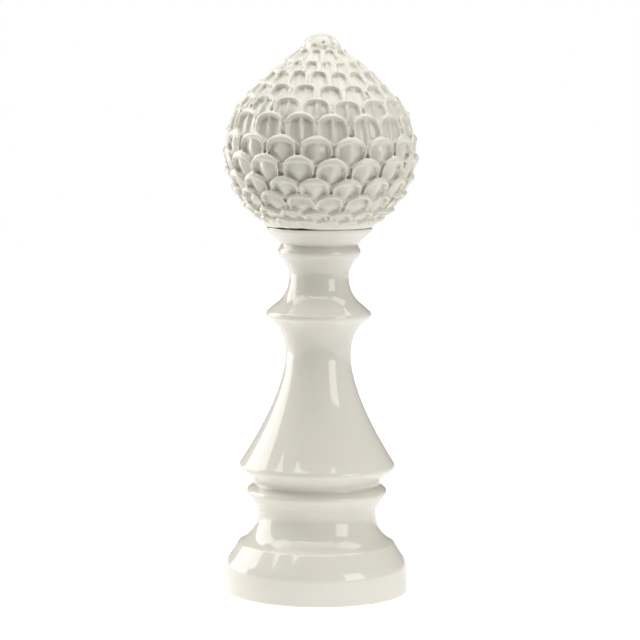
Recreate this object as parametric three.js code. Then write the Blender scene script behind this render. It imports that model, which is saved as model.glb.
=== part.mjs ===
// Artichoke finial: a glazed ceramic artichoke head that rests on a turned pedestal.
// Millimetres, +Z up. The origin is the centre of the foot, on the surface that the piece stands on.

import * as THREE from "three";

// Pedestal, from the foot up. A rise is the height of one moulding above the one below it.
const recessDepth = 3;
const footBandWidth = 18;
const footRound = 1.4;
const plinthRadius = 90.8;
const plinthRise = 23;
const plinthTaper = 0.6;
const shoulderRadius = 86.6;
const shoulderRise = 10;
const shoulderBulge = 0.7;
const rampRadius = 77.2;
const rampRise = 14.2;
const waistRadius = 58.9;
const lowerCoveRise = 25.9;
const lowerCoveHollow = 4.3;
const upperCoveRise = 15.7;
const upperCoveHollow = 2.2;
const ringShelfRadius = 64.2;
const ringRadius = 68.6;
const ringSlopeRise = 6.2;
const ringEdgeRise = 5.6;
const ringEdgeBulge = 0.9;
const grooveRadius = 62.6;
const grooveDrop = 5;
const grooveRise = 4;
const skirtRadius = 75.8;
const skirtUndersideRise = 11;
const skirtEdgeRise = 6.4;
const skirtEdgeBulge = 1.2;
const skirtRise = 107.4;
const skirtSpread = 0.635;
const neckRadius = 32.2;
const neckFlareRise = 34.9;
const neckFlareSpread = 0.69;
const flangeRadius = 50.5;
const flangeUndersideRadius = 48.3;
const flangeUndersideRise = 1.4;
const flangeEdgeRise = 5.8;
const flangeEdgeBulge = 1.2;
const flangeTopRadius = 42.5;
const flangeTopRise = 7;
const throatRadius = 29.2;
const throatRise = 27;
const throatSpread = 0.36;
const beadFlareRise = 20.3;
const beadFlareSpread = 0.6;
const beadFlareRadius = 38.4;
const beadRise = 9.3;
const beadBulge = 1.9;
const beadGrooveRadius = 37.2;
const beadGrooveRise = 2.6;
const cupRise = 13;
const cupHollow = 0.5;
const collarRadius = 50.8;
const collarLip = 1.4;
const collarLipRise = 3.6;
const pedestalSides = 36;

// Artichoke head.
const seatGap = 0.3;
const seatInset = 1;
const seatRimRise = 1.6;
const headRadius = 96.5;
const bowlRise = 75;
const bowlDepth = 89;
const ogiveRise = 114;
const ogiveFullness = 1.85;
const ogiveSwell = 2.4;
const swellHeight = 119;
const swellReach = 13;
const budRadius = 21.5;
const budRise = 18.5;
const budRings = 3;
const budLeaflets = 5;
const budLeafletDepth = 0.8;
const scalesAround = 17;
const crownScales = 10;
const columnsPerScale = 6;
const crownShift = 0.25;
const frontScaleAngle = -93;
const sideLift = 4.5;
const sideLean = 3;
const liftFadeRise = 64;
const liftLeft = 0.25;
const archDip = 0.5;
const edgeSink = 0.2;
const keelDepth = 3;
const hollowSink = 0.9;
const hollowSteepness = 1.5;
const padSink = 0.25;
const padPlace = 0.45;
const ledgeRise = 0.5;

// One entry for each row of scales, from the collar up: how far its tips rise above the row
// below, how far they stand out from the scales behind them, and how far they lean out.
const scaleRows = [
  { rise: 8.7, stand: 4.5 },
  { rise: 9, stand: 5.5 },
  { rise: 16.3, stand: 6.5 },
  { rise: 17.4, stand: 7, hollow: true },
  { rise: 20.4, stand: 7, hollow: true },
  { rise: 20.4, stand: 6.5, hollow: true },
  { rise: 21.3, stand: 6, hollow: true },
  { rise: 14.4, stand: 5 },
  { rise: 12.5, stand: 4.5 },
  { rise: 12.3, stand: 4 },
  { rise: 10, stand: 3.5 },
  { rise: 11.6, stand: 3.5, crown: true, lean: 1.5 },
];

const glazeColour = 0xe9e4da;
const glazeRoughness = 0.18;

function glaze(name) {
  return new THREE.MeshStandardMaterial({
    name,
    color: glazeColour,
    roughness: glazeRoughness,
    metalness: 0,
  });
}

// A turned outline that is drawn upwards, moulding by moulding.
class Turning {
  constructor(radius, height) {
    this.points = [new THREE.Vector2(radius, height)];
  }

  get end() {
    return this.points[this.points.length - 1];
  }

  // A straight cut to a radius, after a rise.
  cut(radius, rise) {
    this.points.push(new THREE.Vector2(radius, this.end.y + rise));
    return this;
  }

  // A round edge or a cove: the middle of the cut swells out by the bulge, or in where it is negative.
  round(radius, rise, bulge, steps) {
    const start = this.end;
    const finish = new THREE.Vector2(radius, start.y + rise);
    const along = finish.clone().sub(start);
    const outward = new THREE.Vector2(along.y, -along.x).normalize();
    const middle = start.clone().add(finish).multiplyScalar(0.5).addScaledVector(outward, 2 * bulge);
    this.points.push(...new THREE.QuadraticBezierCurve(start, middle, finish).getPoints(steps).slice(1));
    return this;
  }

  // A flare that leaves or meets the upright neck, where the spread says how much of its height
  // is on the wide side.
  flareIn(radius, rise, spread, steps) {
    return this.flare(radius, rise, new THREE.Vector2(radius, this.end.y + rise * spread), steps);
  }

  flareOut(radius, rise, spread, steps) {
    return this.flare(radius, rise, new THREE.Vector2(this.end.x, this.end.y + rise * spread), steps);
  }

  flare(radius, rise, control, steps) {
    const finish = new THREE.Vector2(radius, this.end.y + rise);
    const curve = new THREE.QuadraticBezierCurve(this.end, control, finish);
    this.points.push(...curve.getPoints(steps).slice(1));
    return this;
  }
}

function pedestalOutline() {
  const footEdge = plinthRadius - footRound;
  return new Turning(0, recessDepth)
    .cut(footEdge - footBandWidth, 0)
    .cut(footEdge - footBandWidth, -recessDepth)
    .cut(footEdge, 0)
    .cut(plinthRadius, footRound)
    .cut(plinthRadius - plinthTaper, plinthRise)
    .round(shoulderRadius, shoulderRise, shoulderBulge, 2)
    .cut(rampRadius, rampRise)
    .round(waistRadius, lowerCoveRise, -lowerCoveHollow, 3)
    .round(ringShelfRadius, upperCoveRise, -upperCoveHollow, 2)
    .cut(ringRadius, ringSlopeRise)
    .round(ringRadius, ringEdgeRise, ringEdgeBulge, 2)
    .cut(grooveRadius, grooveDrop)
    .cut(grooveRadius, grooveRise)
    .cut(skirtRadius, skirtUndersideRise)
    .round(skirtRadius, skirtEdgeRise, skirtEdgeBulge, 2)
    .flareIn(neckRadius, skirtRise, skirtSpread, 5)
    .flareOut(flangeUndersideRadius, neckFlareRise, neckFlareSpread, 3)
    .cut(flangeRadius, flangeUndersideRise)
    .round(flangeRadius, flangeEdgeRise, flangeEdgeBulge, 2)
    .cut(flangeTopRadius, flangeTopRise)
    .flareIn(throatRadius, throatRise, throatSpread, 2)
    .flareOut(beadFlareRadius, beadFlareRise, beadFlareSpread, 2)
    .round(beadFlareRadius, beadRise, beadBulge, 2)
    .cut(beadGrooveRadius, beadGrooveRise)
    .round(collarRadius, cupRise, -cupHollow, 2)
    .cut(collarRadius + collarLip, collarLipRise)
    .cut(0, 0).points;
}

function pedestal(outline) {
  const geometry = new THREE.LatheGeometry(outline, pedestalSides);
  geometry.rotateX(Math.PI / 2);
  const mesh = new THREE.Mesh(geometry, glaze("pedestal_glaze"));
  mesh.name = "pedestal";
  return mesh;
}

// The outline that the scale tips reach, at a height above the seat.
function tipRadius(height) {
  const fromWidest = height - bowlRise;
  if (fromWidest < 0) {
    return headRadius * Math.sqrt(Math.max(0, 1 - (fromWidest / bowlDepth) ** 2));
  }
  const swell = ogiveSwell * Math.exp(-(((height - swellHeight) / swellReach) ** 2));
  return headRadius * Math.max(0, 1 - (fromWidest / ogiveRise) ** ogiveFullness) + swell;
}

// The bud on top of the head is the upper half of an ellipse.
function budOutline(height) {
  const share = (height - bowlRise - ogiveRise) / budRise + 1;
  return budRadius * Math.sqrt(1 - Math.max(0, share) ** 2);
}

// The rows rise towards both sides of the head and lean to one, because they were set by hand.
function rowLift(turn, height) {
  const side = Math.cos(THREE.MathUtils.degToRad(frontScaleAngle) + 2 * Math.PI * turn);
  const fade = THREE.MathUtils.smoothstep(height, swellHeight, swellHeight + liftFadeRise);
  const lift = sideLift * Math.abs(side) ** 3 - sideLean * side;
  return lift * THREE.MathUtils.lerp(1, liftLeft, fade);
}

// How far a direction lies from the middle of its scale: 0 in the middle, 1 between two scales.
function acrossScale(turn, count, shift) {
  const place = turn * count + shift;
  return 2 * Math.abs(place - Math.round(place));
}

// The head is a stack of closed rings. Each ring is a function that gives the radius and the
// height in one direction, as a share of a full turn.
function headRings(seatRadius) {
  const top = bowlRise + ogiveRise;
  const rings = [() => [seatRadius, 0]];
  let tipHeight = 0;
  let lastStand = 0;
  let lastEdge = () => seatRimRise;
  scaleRows.forEach((row, index) => {
    tipHeight += row.rise;
    const rowTip = tipHeight;
    const count = row.crown ? crownScales : scalesAround;
    const shift = row.crown ? crownShift : (index + 1) / 2;
    const across = (turn) => acrossScale(turn, count, shift);
    const rootEdge = lastEdge;
    const rootStand = lastStand;
    const tipEdge = (turn) => {
      const arch = 1 - Math.sqrt(1 - across(turn) ** 2);
      return rowTip + rowLift(turn, rowTip) - archDip * row.rise * arch;
    };
    const root = (turn) => {
      const height = rootEdge(turn);
      const depth = THREE.MathUtils.lerp(Math.min(keelDepth, rootStand), rootStand, across(turn));
      const radius = tipRadius(height) - depth;
      return [index ? radius : Math.max(radius, seatRadius), height];
    };
    rings.push(root);
    if (row.hollow) {
      rings.push((turn) => {
        const height = THREE.MathUtils.lerp(rootEdge(turn), tipEdge(turn), padPlace);
        const side = Math.min(1, hollowSteepness * across(turn));
        const sink = THREE.MathUtils.lerp(padSink, hollowSink, side);
        return [tipRadius(height) - row.stand * sink, height];
      });
    }
    rings.push((turn) => {
      const height = tipEdge(turn);
      return [tipRadius(height) + (row.lean ?? 0) - row.stand * edgeSink * across(turn) ** 2, height];
    });
    lastEdge = (turn) => tipEdge(turn) + ledgeRise;
    lastStand = row.stand;
  });
  const budFoot = top - budRise;
  const leaflet = (turn) => budLeafletDepth * acrossScale(turn, budLeaflets, 0);
  rings.push((turn) => {
    const height = Math.max(budFoot, lastEdge(turn));
    return [budOutline(height), height];
  });
  for (let step = 1; step <= budRings; step += 1) {
    const height = budFoot + budRise * Math.sin((Math.PI / 2) * (step / (budRings + 1)));
    rings.push((turn) => [budOutline(height) - leaflet(turn), height]);
  }
  return { rings, top };
}

function artichokeHead(seatRadius) {
  const { rings, top } = headRings(seatRadius);
  const columns = columnsPerScale * scalesAround;
  const positions = [0, 0, 0, 0, 0, top];
  for (const ring of rings) {
    for (let column = 0; column < columns; column += 1) {
      const turn = column / columns;
      const angle = THREE.MathUtils.degToRad(frontScaleAngle) + 2 * Math.PI * turn;
      const [radius, height] = ring(turn);
      positions.push(radius * Math.cos(angle), radius * Math.sin(angle), height);
    }
  }
  const seatCentre = 0;
  const apex = 1;
  const corner = (ring, column) => 2 + ring * columns + (column % columns);
  const faces = [];
  for (let column = 0; column < columns; column += 1) {
    faces.push(seatCentre, corner(0, column + 1), corner(0, column));
    for (let ring = 0; ring < rings.length - 1; ring += 1) {
      const lowLeft = corner(ring, column);
      const lowRight = corner(ring, column + 1);
      const highLeft = corner(ring + 1, column);
      const highRight = corner(ring + 1, column + 1);
      faces.push(lowLeft, lowRight, highRight, lowLeft, highRight, highLeft);
    }
    faces.push(corner(rings.length - 1, column), corner(rings.length - 1, column + 1), apex);
  }
  const geometry = new THREE.BufferGeometry();
  geometry.setAttribute("position", new THREE.Float32BufferAttribute(positions, 3));
  geometry.setIndex(faces);
  geometry.computeVertexNormals();
  const mesh = new THREE.Mesh(geometry, glaze("head_glaze"));
  mesh.name = "artichoke_head";
  return mesh;
}

const outline = pedestalOutline();
const collarTop = outline[outline.length - 1].y;
const head = artichokeHead(collarRadius + collarLip - seatInset);
head.position.z = collarTop + seatGap;

const finial = new THREE.Group();
finial.add(pedestal(outline), head);

export default finial;
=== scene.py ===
"""Glazed ceramic artichoke finial: the looks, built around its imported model, in metres."""

import math
import random

import bpy
import numpy as np
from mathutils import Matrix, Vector


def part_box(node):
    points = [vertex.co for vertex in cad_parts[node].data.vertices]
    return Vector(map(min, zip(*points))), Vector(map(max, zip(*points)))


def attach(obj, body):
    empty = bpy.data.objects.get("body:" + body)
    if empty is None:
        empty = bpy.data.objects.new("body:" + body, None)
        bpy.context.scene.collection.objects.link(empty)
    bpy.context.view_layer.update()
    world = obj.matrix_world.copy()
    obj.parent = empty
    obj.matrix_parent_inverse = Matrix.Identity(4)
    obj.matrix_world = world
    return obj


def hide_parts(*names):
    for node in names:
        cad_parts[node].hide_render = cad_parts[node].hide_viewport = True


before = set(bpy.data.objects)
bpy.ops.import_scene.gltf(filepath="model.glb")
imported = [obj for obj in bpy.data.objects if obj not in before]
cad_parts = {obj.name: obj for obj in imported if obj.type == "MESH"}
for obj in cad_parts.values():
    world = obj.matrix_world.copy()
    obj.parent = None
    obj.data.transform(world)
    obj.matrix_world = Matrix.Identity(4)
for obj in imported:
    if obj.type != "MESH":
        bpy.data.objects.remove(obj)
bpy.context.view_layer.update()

bl_info = {
    "name": "Artichoke finial",
    "version": (1, 0, 0),
    "blender": (4, 5, 0),
    "location": "3D View > Sidebar > Finial",
    "description": "Models a glazed ceramic artichoke finial and its studio",
    "category": "Object",
}

MM = 0.001
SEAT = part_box("artichoke_head")[0].z
COLLAR_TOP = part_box("pedestal")[1].z

# Mouldings of the pedestal in millimetres, from the foot up. Each one is drawn from where the
# last one ended: a cut is straight, a round swells by its bulge, and a flare leaves or meets an
# upright neck, with its spread as the share of its rise that is on the wide side.
RECESS_DEPTH = 3.0
FOOT_BAND_INSIDE = 71.4
FOOT_EDGE = 89.4
MOULDINGS = (
    ("foot round", "round", 90.8, 1.4, 0.2),
    ("plinth", "cut", 90.2, 23.0, 0.0),
    ("shoulder", "round", 86.6, 10.0, 0.7),
    ("ramp", "cut", 77.2, 14.2, 0.0),
    ("lower cove", "round", 58.9, 25.9, -4.3),
    ("upper cove", "round", 64.2, 15.7, -2.2),
    ("ring slope", "cut", 68.6, 6.2, 0.0),
    ("ring edge", "round", 68.6, 5.6, 0.9),
    ("ring top", "cut", 62.6, 5.0, 0.0),
    ("groove", "cut", 62.6, 4.0, 0.0),
    ("skirt underside", "cut", 75.8, 11.0, 0.0),
    ("skirt edge", "round", 75.8, 6.4, 1.2),
    ("skirt", "flare in", 32.2, 107.4, 0.635),
    ("neck", "flare out", 48.3, 34.9, 0.69),
    ("flange underside", "cut", 50.5, 1.4, 0.0),
    ("flange edge", "round", 50.5, 5.8, 1.2),
    ("flange top", "cut", 42.5, 7.0, 0.0),
    ("throat", "flare in", 29.2, 27.0, 0.36),
    ("upper neck", "flare out", 38.4, 20.3, 0.6),
    ("bead", "round", 38.4, 9.3, 1.9),
    ("bead groove", "cut", 37.2, 2.6, 0.0),
    ("cup", "round", 50.8, 13.0, -0.5),
    ("collar lip", "cut", 52.2, 3.6, 0.0),
)

# Outline that the scale tips reach, in millimetres above the seat of the head.
HEAD_RADIUS = 96.5
BOWL_RISE = 75.0
BOWL_DEPTH = 89.0
OGIVE_RISE = 114.0
OGIVE_FULLNESS = 1.85
SHOULDER_SWELL = 2.4
SHOULDER_HEIGHT = 119.0
SHOULDER_REACH = 13.0
BUD_RADIUS = 21.5
BUD_RISE = 18.5
BUD_FULLNESS = 2.0
BUD_SKIN = 3.2

# The body under the scales, in millimetres: its lowest point, how far it lies inside the tips'
# outline, how much of that goes towards the top and over which share of the ogive, and how far
# inside it lies at the seat and over what rise.
CORE_FOOT = -6.0
CORE_INSET = 8.0
CORE_INSET_LOSS = 1.5
CORE_LOSS_SHARE = 0.8
SEAT_INSET = 1.0
SEAT_INSET_RISE = 10.0

# Rows of scales from the collar up: rise above the row below, depth of the relief, both in
# millimetres, and the kind of scale.
SCALE_ROWS = (
    (8.7, 5.2, "low"),
    (9.0, 6.2, "low"),
    (16.3, 7.0, "low"),
    (17.4, 7.8, "fan"),
    (20.4, 7.8, "fan"),
    (20.4, 7.8, "fan"),
    (21.3, 7.2, "hollow"),
    (14.4, 6.2, "hollow"),
    (12.5, 5.6, "cup"),
    (12.3, 5.2, "cup"),
    (10.0, 4.8, "cup"),
    (11.6, 4.4, "crown"),
)
SCALES_AROUND = 17
CROWN_SCALES = 12
CROWN_SHIFT = 0.28
FRONT_SCALE_ANGLE = -93.0

# How far a row stands proud of the outline, in millimetres, for what the fusing takes off it.
ROW_STAND = 0.6

# How far the scales stray: up and down as a share of the distance to the row below, in and out
# as shares of the depth, round the head as a share of their half angle, and in their slant.
STRAY_ALONG = 0.05
STRAY_IN = 0.1
STRAY_OUT = 0.06
STRAY_ROUND = 0.05
STRAY_SKEW = 0.07

# Leaflets of the bud: their number, length step, depth and distance from the top in
# millimetres, how far one may stray down, up and inwards in millimetres, their turn from the
# front scale in degrees, and their slant.
BUD_LEAFLETS = 7
LEAFLET_PITCH = 22.0
LEAFLET_DEPTH = 3.2
LEAFLET_START = 1.6
LEAFLET_LOW = 0.8
LEAFLET_HIGH = 0.4
LEAFLET_SUNK = 0.5
LEAFLET_TURN = 8.0
LEAFLET_SKEW = 0.15

# The rows rise towards both sides of the head and lean to one, as they were set by hand. Above
# the shoulder this fades over a rise to a share of it.
ROW_LIFT = 4.5
ROW_LEAN = 3.0
LIFT_FADE_RISE = 64.0
LIFT_LEFT = 0.25

# Pits between the leaflets of the bud: degrees round the head, millimetres under its top, depth.
BUD_PITS = ((-85.0, 7.6, 2.4), (-110.0, 11.4, 2.2), (-80.0, 13.8, 2.2), (-40.0, 9.0, 1.6), (65.0, 9.0, 1.8))
PIT_REACH = 2.6
PIT_SLANT = 0.5

# Forms of one scale. Across it, as shares of its half width: fill is the part of its place that
# it fills, taper how much narrower its root is, dip how far its round tip runs down, lip the
# rolled band round the tip, inner the hollow inside it, and keel_width the ridge down the middle.
# Downwards, as shares of its depth: roll is how far the edge turns back, tuck how much deeper the
# face lies under the lip, side_rise how far the hollow climbs to the sides, and leg_drop how far
# the sides sink. The keel and the valleys beside it start at their top and fall by the next row.
# Sharp is the power that shapes the ridge.
SCALE_KINDS = {
    "low": {
        "fill": 0.94, "taper": 0.3, "dip": 0.8, "lip": 0.25, "inner": 0.86, "roll": 0.4, "tuck": 0.7,
        "keel_top": 0.3, "keel_fall": 0.3, "keel_width": 0.8,
        "valley_top": 0.55, "valley_fall": 0.4, "side_rise": 0.0, "leg_drop": 0.35, "sharp": 1.0,
    },
    "fan": {
        "fill": 0.93, "taper": 0.4, "dip": 0.8, "lip": 0.38, "inner": 0.86, "roll": 0.52, "tuck": 0.08,
        "keel_top": 0.24, "keel_fall": 0.26, "keel_width": 0.74,
        "valley_top": 0.7, "valley_fall": 0.4, "side_rise": 0.0, "leg_drop": 0.36, "sharp": 1.0,
    },
    "hollow": {
        "fill": 0.94, "taper": 0.06, "dip": 0.78, "lip": 0.32, "inner": 0.82, "roll": 0.36, "tuck": 0.0,
        "keel_top": 0.36, "keel_fall": 0.26, "keel_width": 0.2,
        "valley_top": 0.86, "valley_fall": 0.2, "side_rise": 0.3, "leg_drop": 0.3, "sharp": 1.0,
    },
    "cup": {
        "fill": 0.93, "taper": 0.06, "dip": 0.76, "lip": 0.25, "inner": 0.82, "roll": 0.4, "tuck": 0.2,
        "keel_top": 0.66, "keel_fall": 0.1, "keel_width": 0.26,
        "valley_top": 0.92, "valley_fall": 0.12, "side_rise": 0.1, "leg_drop": 0.22, "sharp": 1.0,
    },
    "crown": {
        "fill": 0.93, "taper": 0.06, "dip": 0.72, "lip": 0.3, "inner": 0.8, "roll": 0.3, "tuck": 0.2,
        "keel_top": 0.66, "keel_fall": 0.2, "keel_width": 0.3,
        "valley_top": 0.92, "valley_fall": 0.2, "side_rise": 0.1, "leg_drop": 0.22, "sharp": 1.0,
    },
    "leaflet": {
        "fill": 0.94, "taper": 0.3, "dip": 0.9, "lip": 0.2, "inner": 0.96, "roll": 0.6, "tuck": 0.0,
        "keel_top": 0.0, "keel_fall": 0.1, "keel_width": 0.9,
        "valley_top": 0.85, "valley_fall": 0.3, "side_rise": 0.0, "leg_drop": 0.85, "sharp": 0.45,
    },
}

# What all kinds share. Starts, runs and the length are shares of the distance to the row below,
# except at the rim, which is where the hollow climbs to the lip.
SCALE_LENGTH = 2.2
SCALE_THICKNESS = 0.6
SIDE_BAND = 0.12
SIDE_ROLL = 0.35
TAPER_START = 0.75
TAPER_RUN = 1.2
TUCK_START = 0.35
TUCK_RUN = 0.55
FACE_FALL_START = 1.2
LEG_FALL_START = 0.9
LEG_FALL = 1.4
RIM_START = 0.92
RIM_RUN = 0.14
KEEL_SOFTNESS = 0.004

# Depth behind the tips, in millimetres, at which a hollow counts as deepest and is painted darkest as shade.
DEEPEST_HOLLOW = 9.0


class PedestalSettings(bpy.types.PropertyGroup):
    sides: bpy.props.IntProperty(
        name="Sides", description="Faces round the turned outline", default=144, min=24
    )
    soft_edge: bpy.props.FloatProperty(
        name="Soft edge",
        description="How far the glaze rounds an edge of a moulding",
        default=1.6 * MM,
        unit="LENGTH",
    )
    curve_steps: bpy.props.IntProperty(
        name="Curve steps", description="Steps along a cove or a flare", default=14, min=3
    )


class HeadSettings(bpy.types.PropertyGroup):
    skin: bpy.props.FloatProperty(
        name="Skin", description="Grain at which the scales are fused", default=0.95 * MM, unit="LENGTH"
    )
    faces: bpy.props.IntProperty(
        name="Triangles", description="Most triangles in the finished head", default=190000
    )
    unevenness: bpy.props.FloatProperty(
        name="Unevenness", description="How far the hand-set scales stray", default=1.0, min=0, max=2
    )
    seed: bpy.props.IntProperty(name="Seed", description="Picks the scales' stray places", default=11)


class GlazeSettings(bpy.types.PropertyGroup):
    glaze: bpy.props.FloatVectorProperty(
        name="Glaze", description="Colour of the glaze on open faces", subtype="COLOR", size=4,
        default=(0.84, 0.81, 0.715, 1),
    )
    # Painted shade: the darker glaze colour that hollows and grooves are painted with, where shade falls in
    # them.
    painted_shade: bpy.props.FloatVectorProperty(
        name="Glaze painted darker in hollows", description="Colour painted into hollows and grooves as shade", subtype="COLOR", size=4,
        default=(0.70, 0.672, 0.59, 1),
    )
    thin: bpy.props.FloatVectorProperty(
        name="Thin glaze", description="Colour where the glaze breaks over an edge", subtype="COLOR", size=4,
        default=(0.87, 0.84, 0.76, 1),
    )
    stain: bpy.props.FloatVectorProperty(
        name="Joint stain", description="Colour of the open joint under the head", subtype="COLOR", size=4,
        default=(0.075, 0.042, 0.02, 1),
    )


class StageSettings(bpy.types.PropertyGroup):
    floor_width: bpy.props.FloatProperty(
        name="Floor width", description="From side to side", default=8.0, unit="LENGTH"
    )
    floor_front: bpy.props.FloatProperty(
        name="Floor front", description="From the axis to the floor's front edge", default=0.65,
        unit="LENGTH",
    )
    floor_back: bpy.props.FloatProperty(
        name="Floor back", description="From the axis to the floor's back edge", default=4.0,
        unit="LENGTH",
    )
    camera_distance: bpy.props.FloatProperty(
        name="Camera distance", description="From the axis of the finial", default=2.51, unit="LENGTH"
    )
    camera_height: bpy.props.FloatProperty(
        name="Camera height", description="Above the floor", default=0.519, unit="LENGTH"
    )
    camera_side: bpy.props.FloatProperty(
        name="Camera side", description="To the right of the axis", default=1.4 * MM, unit="LENGTH"
    )
    camera_pitch: bpy.props.FloatProperty(
        name="Camera pitch", description="Downward tilt", default=math.radians(5.69), unit="ROTATION"
    )
    camera_roll: bpy.props.FloatProperty(
        name="Camera roll", description="Turn about the line of sight", default=math.radians(0.6),
        unit="ROTATION",
    )
    lens: bpy.props.FloatProperty(
        name="Lens", description="Focal length in millimetres on a 36 mm sensor", default=144.0
    )


# Small tools for modelling.

def deselect_all():
    if bpy.context.object and bpy.context.object.mode != "OBJECT":
        bpy.ops.object.mode_set(mode="OBJECT")
    bpy.ops.object.select_all(action="DESELECT")


def make_active(piece):
    deselect_all()
    piece.select_set(True)
    bpy.context.view_layer.objects.active = piece


def apply_place(piece):
    make_active(piece)
    bpy.ops.object.transform_apply(location=True, rotation=True, scale=True)


def apply_modifier(piece, kind, **settings):
    make_active(piece)
    modifier = piece.modifiers.new(kind.title(), kind)
    for key, value in settings.items():
        setattr(modifier, key, value)
    bpy.ops.object.modifier_apply(modifier=modifier.name)


def coordinates(mesh):
    places = np.empty(len(mesh.vertices) * 3)
    mesh.vertices.foreach_get("co", places)
    return places.reshape(-1, 3)


def set_coordinates(mesh, places):
    mesh.vertices.foreach_set("co", places.astype(np.float32).ravel())
    mesh.update()


def write_attribute(mesh, name, values):
    attribute = mesh.attributes.new(name, "FLOAT", "POINT")
    attribute.data.foreach_set("value", values.astype(np.float32))


def smoothstep(value):
    value = np.clip(value, 0, 1)
    return value * value * (3 - 2 * value)


# The pedestal.

def bezier(start, control, finish, steps):
    shares = np.linspace(0, 1, steps + 1)[1:, None]
    return start * (1 - shares) ** 2 + 2 * control * shares * (1 - shares) + finish * shares**2


def draw_moulding(start, form, radius, rise, shape, steps):
    """Points of one moulding after its start, as radius and height in millimetres."""
    finish = np.array((radius, start[1] + rise))
    if form == "cut":
        return [finish]
    if form == "round":
        along = finish - start
        outward = np.array((along[1], -along[0])) / np.hypot(*along)
        return bezier(start, (start + finish) / 2 + 2 * shape * outward, finish, steps)
    neck = radius if form == "flare in" else start[0]
    return bezier(start, np.array((neck, start[1] + rise * shape)), finish, steps)


def soften(points, reach):
    """Rounds each corner over a short reach, as a coat of glaze does."""
    least_turn = math.radians(8)
    most_of_side = 0.45
    steps = 5
    soft = [points[0]]
    for before, corner, after in zip(points, points[1:], points[2:]):
        back = before - corner
        ahead = after - corner
        turn = math.pi - math.acos(
            np.clip(back @ ahead / (np.hypot(*back) * np.hypot(*ahead)), -1, 1)
        )
        if turn < least_turn:
            soft.append(corner)
            continue
        start = corner + back * min(reach / np.hypot(*back), most_of_side)
        finish = corner + ahead * min(reach / np.hypot(*ahead), most_of_side)
        soft.append(start)
        soft.extend(bezier(start, corner, finish, steps))
    soft.append(points[-1])
    return soft


def pedestal_outline(settings):
    points = [
        np.array((0.0, RECESS_DEPTH)),
        np.array((FOOT_BAND_INSIDE, RECESS_DEPTH)),
        np.array((FOOT_BAND_INSIDE, 0.0)),
        np.array((FOOT_EDGE, 0.0)),
    ]
    for _name, form, radius, rise, shape in MOULDINGS:
        points.extend(draw_moulding(points[-1], form, radius, rise, shape, settings.curve_steps))
    points.append(np.array((0.0, points[-1][1])))
    return np.array(soften(points, settings.soft_edge / MM)) * MM


def spin_outline(name, outline, sides):
    """Draws the outline point by point from a merged plane, and spins it round the axis."""
    deselect_all()
    bpy.ops.mesh.primitive_plane_add(size=MM, location=(outline[0][0], 0, outline[0][1]))
    piece = bpy.context.object
    piece.name = name
    apply_place(piece)
    bpy.ops.object.mode_set(mode="EDIT")
    bpy.ops.mesh.select_all(action="SELECT")
    bpy.ops.mesh.merge(type="CENTER")
    for step in np.diff(outline, axis=0):
        bpy.ops.mesh.extrude_vertices_move(
            TRANSFORM_OT_translate={"value": (step[0], 0, step[1])}
        )
    bpy.ops.mesh.select_all(action="SELECT")
    bpy.ops.mesh.spin(steps=sides, angle=2 * math.pi, center=(0, 0, 0), axis=(0, 0, 1))
    bpy.ops.mesh.select_all(action="SELECT")
    bpy.ops.mesh.remove_doubles(threshold=0.02 * MM)
    bpy.ops.mesh.normals_make_consistent(inside=False)
    bpy.ops.object.mode_set(mode="OBJECT")
    return piece


def pedestal_depth(mesh, outline):
    """How far each point lies in a groove, from 0 on an edge to 1 in a hollow. The glaze is painted darker
    by it as shade in the grooves.
    """
    spacing = 0.5 * MM
    spread = 15
    full_depth = 5 * MM
    radii = outline[:, 0]
    heights = outline[:, 1]
    grid = np.arange(0, heights.max(), spacing)
    side = heights.argsort(kind="stable")
    profile = np.interp(grid, heights[side], radii[side])
    window = np.hanning(2 * spread + 1)
    wide = np.convolve(np.pad(profile, spread, mode="edge"), window / window.sum(), mode="valid")
    places = coordinates(mesh)
    around = np.hypot(places[:, 0], places[:, 1])
    return np.clip(0.5 + (np.interp(places[:, 2], grid, wide) - around) / full_depth, 0, 1)


class FINIAL_OT_pedestal(bpy.types.Operator):
    """Turns the pedestal"""

    bl_idname = "finial.pedestal"
    bl_label = "Pedestal"

    def execute(self, context):
        settings = context.scene.finial_pedestal
        outline = pedestal_outline(settings)
        piece = spin_outline("turned_pedestal", outline, settings.sides)
        # Depth in grooves, by which the glaze is painted darker as shade.
        write_attribute(piece.data, "hollow", pedestal_depth(piece.data, outline))
        make_active(piece)
        bpy.ops.object.shade_smooth_by_angle(angle=math.radians(50))
        piece.data.materials.append(pedestal_material(context.scene.finial_glaze))
        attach(piece, "root")
        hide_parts("pedestal")
        return {"FINISHED"}


# The artichoke head.

def tip_radius(height):
    """Radius that the scale tips reach, in millimetres, at heights above the seat."""
    below = HEAD_RADIUS * np.sqrt(np.clip(1 - ((height - BOWL_RISE) / BOWL_DEPTH) ** 2, 0, 1))
    rise = np.clip((height - BOWL_RISE) / OGIVE_RISE, 0, 1)
    swell = SHOULDER_SWELL * np.exp(-(((height - SHOULDER_HEIGHT) / SHOULDER_REACH) ** 2))
    above = HEAD_RADIUS * (1 - rise**OGIVE_FULLNESS) + swell
    return np.where(height < BOWL_RISE, below, above)


class Outline:
    """A turned outline that is walked by its length, from low to high, in millimetres."""

    def __init__(self, radii, heights):
        self.radii = radii
        self.heights = heights
        steps = np.hypot(np.diff(radii), np.diff(heights))
        self.lengths = np.concatenate(([0], np.cumsum(steps)))
        self.out_r = np.gradient(heights, self.lengths)
        self.out_z = -np.gradient(radii, self.lengths)

    def length_at(self, height):
        return np.interp(height, self.heights, self.lengths)

    def place(self, length, offset):
        low = np.minimum(length - self.lengths[0], 0)
        radius = np.interp(length, self.lengths, self.radii)
        height = np.interp(length, self.lengths, self.heights)
        out_r = np.interp(length, self.lengths, self.out_r)
        out_z = np.interp(length, self.lengths, self.out_z)
        radius = radius - low * self.out_z[0] + offset * out_r
        height = height + low * self.out_r[0] + offset * out_z
        return radius, height


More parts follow.
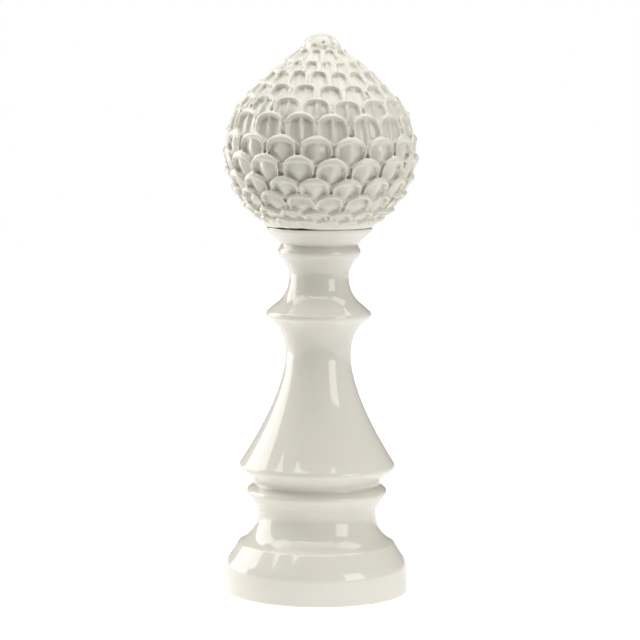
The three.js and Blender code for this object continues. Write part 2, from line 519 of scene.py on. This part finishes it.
def head_outline():
    heights = np.linspace(0, BOWL_RISE + OGIVE_RISE - 0.01, 800)
    return Outline(tip_radius(heights), heights)


def bud_outline():
    share = np.sin(np.linspace(0, math.pi / 2, 200))
    radii = BUD_RADIUS * np.clip(1 - share**BUD_FULLNESS, 0, 1) ** (1 / BUD_FULLNESS)
    top = BOWL_RISE + OGIVE_RISE
    return Outline(radii, top - BUD_RISE + BUD_RISE * share)


def scale_height(across, along, depth, lip_band, half_width, dip, pitch, form):
    """Height of a scale's face over the outline of the tips, below zero, at places on the scale.

    Across runs from -1 to 1 and along is the distance below the row's tips.
    """
    side = np.abs(across)
    arch = np.clip((dip - along) / dip, 0, None)
    inner_arch = np.clip((dip - along) / (dip - lip_band), 0, None)
    edge = np.sqrt(side**2 + arch**2)
    inside = np.sqrt((side / form["inner"]) ** 2 + inner_arch**2)
    steps = along / pitch

    keel = form["keel_top"] + form["keel_fall"] * np.clip(steps, 0, None) ** 2.2
    valley = form["valley_top"] + form["valley_fall"] * np.clip(steps, 0, None) ** 1.2
    ridge = np.clip(1 - np.sqrt((side / form["keel_width"]) ** 2 + KEEL_SOFTNESS), 0, 1) ** form["sharp"]
    bowl = form["side_rise"] * np.clip((side - form["keel_width"]) / (1 - form["keel_width"]), 0, 1) ** 2
    face = valley - bowl + (np.minimum(keel, valley) - valley) * ridge
    face = face + form["tuck"] * (1 - smoothstep((steps - TUCK_START) / TUCK_RUN))
    face = face + np.clip(steps - FACE_FALL_START, 0, None)

    legs = form["leg_drop"] + LEG_FALL * np.clip(steps - LEG_FALL_START, 0, None)
    band = legs * np.clip(along / dip, 0, 1) ** 1.5
    lifted = smoothstep((inside - RIM_START) / RIM_RUN)
    drop = face + (band - face) * lifted

    upright = arch / np.maximum(edge, 1e-6)
    distance = (1 - edge) * (half_width * (1 - upright) + dip * upright)
    rolled = SIDE_BAND * half_width * (1 - upright**2) + lip_band * upright**2
    near_edge = np.clip(distance / rolled, 0, 1)
    roll = form["roll"] * (SIDE_ROLL + (1 - SIDE_ROLL) * upright)
    roll = roll * (1 - np.sqrt(1 - (1 - near_edge) ** 2))
    return -(drop + roll) * depth


def scale_blank(name, half_width, pitch, depth, kind):
    """One scale lying flat: x across it, y up from its root to its tip at 0, and z outwards."""
    form = SCALE_KINDS[kind]
    deselect_all()
    bpy.ops.mesh.primitive_grid_add(x_subdivisions=32, y_subdivisions=30, size=2)
    blank = bpy.context.object
    blank.name = name
    places = coordinates(blank.data)
    across = 0.5 * places[:, 0] + 0.5 * np.sin(places[:, 0] * math.pi / 2)
    share = 1 - ((1 - places[:, 1]) / 2) ** 1.5
    dip = form["dip"] * half_width
    length = SCALE_LENGTH * pitch
    top = -dip * (1 - np.sqrt(np.clip(1 - across**2, 0, 1)))
    upward = -length + share * (top + length)
    narrow = 1 - form["taper"] * smoothstep((-upward - TAPER_START * pitch) / (TAPER_RUN * pitch))
    places[:, 2] = scale_height(
        across, -upward, depth, form["lip"] * half_width, half_width, dip, pitch, form
    )
    places[:, 0] = across * narrow * half_width * form["fill"]
    places[:, 1] = upward
    set_coordinates(blank.data, places * MM)
    apply_modifier(blank, "SOLIDIFY", thickness=SCALE_THICKNESS * depth * MM, offset=-1)
    return blank


def row_lift(angle, height):
    """How far a row stands above its level at an angle round the head, in millimetres."""
    side = math.cos(angle)
    fade = 1 - float(smoothstep((height - SHOULDER_HEIGHT) / LIFT_FADE_RISE))
    return (ROW_LIFT * abs(side) ** 3 - ROW_LEAN * side) * (LIFT_LEFT + (1 - LIFT_LEFT) * fade)


def lay_scale(blank, outline, tip, out, angle, tip_radius_here, skew):
    """A copy of a scale, bent onto the outline at its place, as a new object."""
    scale = blank.copy()
    scale.data = blank.data.copy()
    bpy.context.collection.objects.link(scale)
    places = coordinates(scale.data) / MM
    radius, height = outline.place(tip + places[:, 1], places[:, 2] + out)
    turn = (places[:, 0] + skew * places[:, 1]) / tip_radius_here
    places[:, 0] = radius * np.cos(angle + turn)
    places[:, 1] = radius * np.sin(angle + turn)
    places[:, 2] = height
    set_coordinates(scale.data, places * MM)
    return scale


def lay_rows(outline, settings):
    """Models one scale for each row and lays its copies round the head."""
    chance = random.Random(settings.seed)
    stray = settings.unevenness
    height = 0.0
    scales = []
    for index, (rise, depth, kind) in enumerate(SCALE_ROWS):
        height += rise
        tip = outline.length_at(height)
        pitch = tip - outline.length_at(height - rise)
        count = CROWN_SCALES if kind == "crown" else SCALES_AROUND
        shift = CROWN_SHIFT if kind == "crown" else (index + 1) / 2
        radius = float(tip_radius(height))
        half_angle = math.pi / count
        half_width = radius * half_angle
        blank = scale_blank("scale_%d" % index, half_width, pitch, depth, kind)
        for number in range(count):
            angle = math.radians(FRONT_SCALE_ANGLE) + 2 * half_angle * (number - shift)
            scales.append(lay_scale(
                blank,
                outline,
                tip + row_lift(angle, height) + stray * chance.uniform(-STRAY_ALONG, STRAY_ALONG) * pitch,
                stray * chance.uniform(-STRAY_IN, STRAY_OUT) * depth + ROW_STAND,
                angle + stray * chance.uniform(-STRAY_ROUND, STRAY_ROUND) * half_angle,
                radius,
                stray * chance.uniform(-STRAY_SKEW, STRAY_SKEW),
            ))
        bpy.data.objects.remove(blank)
    return scales


def lay_bud(settings):
    outline = bud_outline()
    chance = random.Random(settings.seed + 1)
    half_angle = math.pi / BUD_LEAFLETS
    blank = scale_blank("leaflet", BUD_RADIUS * half_angle, LEAFLET_PITCH, LEAFLET_DEPTH, "leaflet")
    leaflets = []
    for number in range(BUD_LEAFLETS):
        leaflets.append(lay_scale(
            blank,
            outline,
            outline.lengths[-1] - LEAFLET_START + chance.uniform(-LEAFLET_LOW, LEAFLET_HIGH),
            chance.uniform(-LEAFLET_SUNK, 0),
            math.radians(FRONT_SCALE_ANGLE + LEAFLET_TURN) + 2 * half_angle * (number + 0.5),
            BUD_RADIUS,
            LEAFLET_SKEW,
        ))
    bpy.data.objects.remove(blank)
    return leaflets


def head_core():
    """The body that the scales grow from, under their roots."""
    deselect_all()
    bpy.ops.mesh.primitive_uv_sphere_add(segments=96, ring_count=72, radius=1)
    core = bpy.context.object
    places = coordinates(core.data)
    share = (places[:, 2] + 1) / 2
    turn = np.arctan2(places[:, 1], places[:, 0])
    highest = BOWL_RISE + OGIVE_RISE - BUD_SKIN
    height = CORE_FOOT + share * (highest - CORE_FOOT)
    thinning = smoothstep((height - BOWL_RISE) / (CORE_LOSS_SHARE * OGIVE_RISE))
    deep = CORE_INSET - CORE_INSET_LOSS * thinning
    inset = SEAT_INSET + (deep - SEAT_INSET) * smoothstep(height / SEAT_INSET_RISE)
    over_bud = (height - BOWL_RISE - OGIVE_RISE + BUD_RISE) / BUD_RISE
    bud = BUD_RADIUS * np.sqrt(np.clip(1 - over_bud**2, 0, 1)) - BUD_SKIN
    bud = np.where(over_bud < 0, 0, bud)
    radius = np.maximum(tip_radius(np.maximum(height, 0)) - inset, bud)
    at_pole = (share > 0.999) | (share < 0.001)
    radius = np.where(at_pole, 0, radius)
    places[:, 0] = radius * np.cos(turn)
    places[:, 1] = radius * np.sin(turn)
    places[:, 2] = height
    set_coordinates(core.data, places * MM)
    return core


def fuse_head(pieces, settings):
    """Joins the scales to the body and fuses them into one skin."""
    deselect_all()
    for piece in pieces:
        piece.select_set(True)
    bpy.context.view_layer.objects.active = pieces[0]
    bpy.ops.object.join()
    head = bpy.context.object
    apply_modifier(head, "REMESH", mode="VOXEL", voxel_size=settings.skin)
    apply_modifier(head, "SMOOTH", factor=0.5, iterations=2)
    return head


def cut_seat(head):
    """Cuts the fused head flat where it rests, and closes the cut."""
    make_active(head)
    bpy.ops.object.mode_set(mode="EDIT")
    bpy.ops.mesh.select_all(action="SELECT")
    bpy.ops.mesh.bisect(
        plane_co=(0, 0, 0), plane_no=(0, 0, 1), use_fill=True, clear_inner=True, threshold=0.01 * MM
    )
    bpy.ops.object.mode_set(mode="OBJECT")


def cut_pits(head):
    """Sinks the small pits where the leaflets of the bud meet."""
    places = coordinates(head.data)
    top = places[:, 2].max()
    for angle, below, depth in BUD_PITS:
        turn = math.radians(angle)
        share = 1 - below / BUD_RISE
        radius = BUD_RADIUS * math.sqrt(1 - share**2)
        pit = np.array((radius * math.cos(turn), radius * math.sin(turn), 0)) * MM
        pit[2] = top - below * MM
        on_skin = places[np.linalg.norm(places - pit, axis=1).argmin()]
        away = np.linalg.norm(places - on_skin, axis=1) / (PIT_REACH * MM)
        inward = np.array((math.cos(turn), math.sin(turn), PIT_SLANT))
        places -= smoothstep(1 - away)[:, None] * inward * depth * MM
    set_coordinates(head.data, places)


def head_depth(mesh, outline):
    """How far each point lies behind the tips, from 0 at a tip to 1 in a deep hollow. The glaze is painted
    darker by it as shade in the hollows, and is lighter near the tips where it thins.
    """
    places = coordinates(mesh) / MM
    around = np.hypot(places[:, 0], places[:, 1])
    length = outline.length_at(places[:, 2])
    slant = np.interp(length, outline.lengths, outline.out_r)
    behind = (tip_radius(places[:, 2]) - around) * slant
    return np.clip(behind / DEEPEST_HOLLOW, 0, 1)


class FINIAL_OT_artichoke_head(bpy.types.Operator):
    """Models one scale for each row, lays its copies round the head and fuses them into one skin"""

    bl_idname = "finial.artichoke_head"
    bl_label = "Artichoke head"

    def execute(self, context):
        settings = context.scene.finial_head
        outline = head_outline()
        pieces = [head_core(), *lay_rows(outline, settings), *lay_bud(settings)]
        head = fuse_head(pieces, settings)
        head.name = "scaled_head"
        cut_seat(head)
        triangles = sum(len(face.vertices) - 2 for face in head.data.polygons)
        cut_pits(head)
        if triangles > settings.faces:
            apply_modifier(head, "DECIMATE", ratio=settings.faces / triangles)
        # Depth behind the tips, by which the glaze is painted darker as shade in hollows.
        write_attribute(head.data, "hollow", head_depth(head.data, outline))
        set_coordinates(head.data, coordinates(head.data) + np.array((0, 0, SEAT)))
        make_active(head)
        bpy.ops.object.shade_smooth_by_angle(angle=math.radians(70))
        head.data.materials.append(head_material(context.scene.finial_glaze))
        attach(head, "root")
        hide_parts("artichoke_head")
        return {"FINISHED"}


# Materials.

# The side on which the open joint is stained most, in one over the radius of the collar.
STAIN_SIDE = (-0.54 / 0.052, -0.84 / 0.052, 0)


def group_socket(group, name, side, kind, default=None):
    socket = group.interface.new_socket(name, in_out=side, socket_type=kind)
    if default is not None:
        socket.default_value = default


def glaze_group():
    """Colour, roughness and surface of a thick glaze that thins on edges, with painted shade that darkens it
    in hollows and grooves.
    """
    found = bpy.data.node_groups.get("Glaze painted darker in hollows")
    if found:
        return found
    group = bpy.data.node_groups.new("Glaze painted darker in hollows", "ShaderNodeTree")
    group_socket(group, "Glaze", "INPUT", "NodeSocketColor")
    group_socket(group, "Painted shade", "INPUT", "NodeSocketColor")
    group_socket(group, "Thin", "INPUT", "NodeSocketColor")
    group_socket(group, "Stain", "INPUT", "NodeSocketColor")
    group_socket(group, "Stain height", "INPUT", "NodeSocketFloat", 0.36)
    group_socket(group, "Stain reach", "INPUT", "NodeSocketFloat", 0.001)
    group_socket(group, "Colour", "OUTPUT", "NodeSocketColor")
    group_socket(group, "Roughness", "OUTPUT", "NodeSocketFloat")
    group_socket(group, "Normal", "OUTPUT", "NodeSocketVector")
    nodes = group.nodes
    link = group.links.new
    into = nodes.new("NodeGroupInput")
    out = nodes.new("NodeGroupOutput")
    place = nodes.new("ShaderNodeTexCoord")
    hollow = nodes.new("ShaderNodeAttribute")
    hollow.attribute_name = "hollow"

    cloud = nodes.new("ShaderNodeTexNoise")
    cloud.inputs["Scale"].default_value = 22
    cloud.inputs["Detail"].default_value = 3
    link(place.outputs["Object"], cloud.inputs["Vector"])

    # Painted shade: the deeper a point lies in a hollow or groove, the further the glaze colour is mixed
    # towards the darker shade colour.
    painted_shade_share = nodes.new("ShaderNodeMapRange")
    painted_shade_share.interpolation_type = "SMOOTHSTEP"
    painted_shade_share.inputs["From Min"].default_value = 0.35
    painted_shade_share.inputs["From Max"].default_value = 1.0
    link(hollow.outputs["Fac"], painted_shade_share.inputs["Value"])

    thinning = nodes.new("ShaderNodeMapRange")
    thinning.interpolation_type = "SMOOTHSTEP"
    thinning.inputs["From Min"].default_value = 0.3
    thinning.inputs["From Max"].default_value = 0.0
    link(hollow.outputs["Fac"], thinning.inputs["Value"])

    body = nodes.new("ShaderNodeMix")
    body.data_type = "RGBA"
    link(painted_shade_share.outputs["Result"], body.inputs["Factor"])
    link(into.outputs["Glaze"], body.inputs["A"])
    link(into.outputs["Painted shade"], body.inputs["B"])

    edge_share = nodes.new("ShaderNodeMath")
    edge_share.operation = "MULTIPLY"
    link(thinning.outputs["Result"], edge_share.inputs[0])
    link(cloud.outputs["Fac"], edge_share.inputs[1])
    edges = nodes.new("ShaderNodeMix")
    edges.data_type = "RGBA"
    link(edge_share.outputs["Value"], edges.inputs["Factor"])
    link(body.outputs["Result"], edges.inputs["A"])
    link(into.outputs["Thin"], edges.inputs["B"])

    apart = nodes.new("ShaderNodeSeparateXYZ")
    link(place.outputs["Object"], apart.inputs["Vector"])
    from_joint = nodes.new("ShaderNodeMath")
    from_joint.operation = "SUBTRACT"
    link(apart.outputs["Z"], from_joint.inputs[0])
    link(into.outputs["Stain height"], from_joint.inputs[1])
    distance = nodes.new("ShaderNodeMath")
    distance.operation = "ABSOLUTE"
    link(from_joint.outputs["Value"], distance.inputs[0])
    ragged = nodes.new("ShaderNodeTexNoise")
    ragged.inputs["Scale"].default_value = 85
    ragged.inputs["Detail"].default_value = 4
    link(place.outputs["Object"], ragged.inputs["Vector"])
    side = nodes.new("ShaderNodeVectorMath")
    side.operation = "DOT_PRODUCT"
    side.inputs[1].default_value = STAIN_SIDE
    link(place.outputs["Object"], side.inputs[0])
    worn = nodes.new("ShaderNodeMapRange")
    worn.inputs["From Min"].default_value = 0.84
    worn.inputs["From Max"].default_value = 0.98
    worn.inputs["To Min"].default_value = 0.06
    link(side.outputs["Value"], worn.inputs["Value"])
    reach = nodes.new("ShaderNodeMath")
    reach.operation = "MULTIPLY"
    link(ragged.outputs["Fac"], reach.inputs[0])
    link(into.outputs["Stain reach"], reach.inputs[1])
    worn_reach = nodes.new("ShaderNodeMath")
    worn_reach.operation = "MULTIPLY"
    link(reach.outputs["Value"], worn_reach.inputs[0])
    link(worn.outputs["Result"], worn_reach.inputs[1])
    stain_share = nodes.new("ShaderNodeMath")
    stain_share.operation = "LESS_THAN"
    link(distance.outputs["Value"], stain_share.inputs[0])
    link(worn_reach.outputs["Value"], stain_share.inputs[1])
    stained = nodes.new("ShaderNodeMix")
    stained.data_type = "RGBA"
    link(stain_share.outputs["Value"], stained.inputs["Factor"])
    link(edges.outputs["Result"], stained.inputs["A"])
    link(into.outputs["Stain"], stained.inputs["B"])
    link(stained.outputs["Result"], out.inputs["Colour"])

    gloss = nodes.new("ShaderNodeMapRange")
    gloss.inputs["To Min"].default_value = 0.03
    gloss.inputs["To Max"].default_value = 0.09
    link(cloud.outputs["Fac"], gloss.inputs["Value"])
    dull = nodes.new("ShaderNodeMath")
    dull.operation = "MAXIMUM"
    link(gloss.outputs["Result"], dull.inputs[0])
    link(stain_share.outputs["Value"], dull.inputs[1])
    link(dull.outputs["Value"], out.inputs["Roughness"])

    swell = nodes.new("ShaderNodeTexNoise")
    swell.inputs["Scale"].default_value = 38
    swell.inputs["Detail"].default_value = 2
    link(place.outputs["Object"], swell.inputs["Vector"])
    waves = nodes.new("ShaderNodeBump")
    waves.inputs["Strength"].default_value = 0.5
    waves.inputs["Distance"].default_value = 0.35 * MM
    link(swell.outputs["Fac"], waves.inputs["Height"])
    peel = nodes.new("ShaderNodeTexNoise")
    peel.inputs["Scale"].default_value = 420
    peel.inputs["Detail"].default_value = 1
    link(place.outputs["Object"], peel.inputs["Vector"])
    fine = nodes.new("ShaderNodeBump")
    fine.inputs["Strength"].default_value = 0.25
    fine.inputs["Distance"].default_value = 0.05 * MM
    link(peel.outputs["Fac"], fine.inputs["Height"])
    link(waves.outputs["Normal"], fine.inputs["Normal"])
    link(fine.outputs["Normal"], out.inputs["Normal"])
    return group


def glaze_material(name, settings, stain_height, stain_reach):
    material = bpy.data.materials.new(name)
    material.use_nodes = True
    nodes = material.node_tree.nodes
    link = material.node_tree.links.new
    shader = nodes["Principled BSDF"]
    coat = nodes.new("ShaderNodeGroup")
    coat.node_tree = glaze_group()
    coat.inputs["Glaze"].default_value = settings.glaze
    # The darker colour that is painted into hollows and grooves as shade.
    coat.inputs["Painted shade"].default_value = settings.painted_shade
    coat.inputs["Thin"].default_value = settings.thin
    coat.inputs["Stain"].default_value = settings.stain
    coat.inputs["Stain height"].default_value = stain_height
    coat.inputs["Stain reach"].default_value = stain_reach
    link(coat.outputs["Colour"], shader.inputs["Base Color"])
    link(coat.outputs["Roughness"], shader.inputs["Roughness"])
    link(coat.outputs["Normal"], shader.inputs["Normal"])
    shader.inputs["IOR"].default_value = 1.62
    shader.inputs["Subsurface Weight"].default_value = 0.08
    shader.inputs["Subsurface Scale"].default_value = 2 * MM
    return material


def head_material(settings):
    return glaze_material("Head glaze", settings, SEAT, 2.2 * MM)


def pedestal_material(settings):
    return glaze_material("Pedestal glaze", settings, COLLAR_TOP, 0.9 * MM)


# The studio.

def floor_material():
    """A pale table top that shows nearly free of shadows, and lights the finial less than that."""
    material = bpy.data.materials.new("Studio floor")
    material.use_nodes = True
    nodes = material.node_tree.nodes
    link = material.node_tree.links.new
    shader = nodes["Principled BSDF"]
    shader.inputs["Base Color"].default_value = (0.5, 0.5, 0.5, 1)
    shader.inputs["Roughness"].default_value = 0.7
    shader.inputs["Specular IOR Level"].default_value = 0.1
    shader.inputs["Emission Color"].default_value = (1, 1, 1, 1)
    seen = nodes.new("ShaderNodeLightPath")
    strength = nodes.new("ShaderNodeMapRange")
    strength.inputs["To Min"].default_value = 0.66
    strength.inputs["To Max"].default_value = 0.98
    link(seen.outputs["Is Camera Ray"], strength.inputs["Value"])
    link(strength.outputs["Result"], shader.inputs["Emission Strength"])
    return material


# Upright softboxes: degrees to the right of the camera's side, then in metres the distance, the
# width, the height of the foot and the height, and the glow as a multiple of plain white.
UPRIGHT_LIGHTS = (
    ("Left softbox", -116, 1.5, 1.12, 0.02, 1.5, 3.0),
    ("Right window", 50, 1.9, 0.84, 0.15, 1.2, 2.9),
)

# A frame of softboxes under the ceiling, round a dimmer middle: left, right, front and back edges
# in metres, and the glow.
CEILING_HEIGHT = 1.55
CEILING_LIGHTS = (
    ("Ceiling front", -0.8, 0.65, 0.92, 0.68, 2.8),
    ("Ceiling left", -1.5, -0.8, 0.55, -0.6, 2.5),
    ("Ceiling right", 0.65, 1.25, 0.55, -0.6, 2.3),
    ("Ceiling middle", -0.8, 0.65, 0.68, -0.6, 1.5),
)


def add_softbox(name, place, target, width, height, glow):
    light = bpy.data.lights.new(name, "AREA")
    light.shape = "RECTANGLE"
    light.size = width
    light.size_y = height
    light.energy = glow * math.pi * width * height
    softbox = bpy.data.objects.new(name, light)
    softbox.visible_camera = False
    bpy.context.collection.objects.link(softbox)
    softbox.location = place
    softbox.rotation_euler = (Vector(target) - Vector(place)).to_track_quat("-Z", "Y").to_euler()
    return softbox


def around(azimuth, distance, height):
    """A place at an angle to the right of the camera's side of the finial."""
    turn = math.radians(azimuth)
    return (distance * math.sin(turn), -distance * math.cos(turn), height)


class FINIAL_OT_stage(bpy.types.Operator):
    """Sets the pale floor, the softboxes and the camera"""

    bl_idname = "finial.stage"
    bl_label = "Studio"

    def execute(self, context):
        settings = context.scene.finial_stage
        deselect_all()
        middle = (settings.floor_back - settings.floor_front) / 2
        bpy.ops.mesh.primitive_plane_add(size=1, location=(0, middle, 0))
        floor = context.object
        floor.scale = (settings.floor_width, settings.floor_back + settings.floor_front, 1)
        apply_place(floor)
        floor.name = "studio_floor"
        floor.data.materials.append(floor_material())
        self.set_world(context)
        self.set_lights()
        self.set_camera(context, settings)
        return {"FINISHED"}

    def set_world(self, context):
        """White behind the finial, and a dimmer studio for what lights it."""
        world = bpy.data.worlds.new("Studio")
        world.use_nodes = True
        nodes = world.node_tree.nodes
        background = nodes["Background"]
        background.inputs["Color"].default_value = (1, 1, 1, 1)
        seen = nodes.new("ShaderNodeLightPath")
        strength = nodes.new("ShaderNodeMapRange")
        strength.inputs["To Min"].default_value = 0.2
        strength.inputs["To Max"].default_value = 1.0
        world.node_tree.links.new(seen.outputs["Is Camera Ray"], strength.inputs["Value"])
        world.node_tree.links.new(strength.outputs["Result"], background.inputs["Strength"])
        context.scene.world = world
        context.scene.view_settings.view_transform = "Standard"

    def set_lights(self):
        for name, azimuth, distance, width, foot, height, glow in UPRIGHT_LIGHTS:
            place = around(azimuth, distance, foot + height / 2)
            target = (0, 0, foot + height / 2)
            add_softbox(name, place, target, width, height, glow)
        for name, left, right, front, back, glow in CEILING_LIGHTS:
            place = ((left + right) / 2, -(front + back) / 2, CEILING_HEIGHT)
            target = (place[0], place[1], 0)
            add_softbox(name, place, target, right - left, front - back, glow)

    def set_camera(self, context, settings):
        data = bpy.data.cameras.new("Camera")
        data.lens = settings.lens
        data.sensor_width = 36
        camera = bpy.data.objects.new("Camera", data)
        context.collection.objects.link(camera)
        camera.location = (settings.camera_side, -settings.camera_distance, settings.camera_height)
        camera.rotation_euler = (math.pi / 2 - settings.camera_pitch, 0, 0)
        camera.rotation_euler.rotate_axis("Z", settings.camera_roll)
        context.scene.camera = camera


class FINIAL_PT_panel(bpy.types.Panel):
    """Lists the finial's pieces and their sizes"""

    bl_idname = "FINIAL_PT_panel"
    bl_label = "Finial"
    bl_space_type = "VIEW_3D"
    bl_region_type = "UI"
    bl_category = "Finial"

    def draw(self, context):
        for operator, holder in PANEL_ROWS:
            box = self.layout.box()
            box.operator(operator)
            settings = getattr(context.scene, holder)
            for name in settings.bl_rna.properties.keys():
                if name not in ("rna_type", "name"):
                    box.prop(settings, name)


PANEL_ROWS = (
    ("finial.pedestal", "finial_pedestal"),
    ("finial.artichoke_head", "finial_head"),
    ("finial.artichoke_head", "finial_glaze"),
    ("finial.stage", "finial_stage"),
)

SETTINGS = {
    "finial_pedestal": PedestalSettings,
    "finial_head": HeadSettings,
    "finial_glaze": GlazeSettings,
    "finial_stage": StageSettings,
}

CLASSES = (
    *SETTINGS.values(),
    FINIAL_OT_pedestal,
    FINIAL_OT_artichoke_head,
    FINIAL_OT_stage,
    FINIAL_PT_panel,
)


def register():
    for kind in CLASSES:
        bpy.utils.register_class(kind)
    for name, kind in SETTINGS.items():
        setattr(bpy.types.Scene, name, bpy.props.PointerProperty(type=kind))


def unregister():
    for name in SETTINGS:
        delattr(bpy.types.Scene, name)
    for kind in reversed(CLASSES):
        bpy.utils.unregister_class(kind)


def main():
    register()
    bpy.ops.finial.pedestal()
    bpy.ops.finial.artichoke_head()
    bpy.ops.finial.stage()


if __name__ == "__main__":
    main()
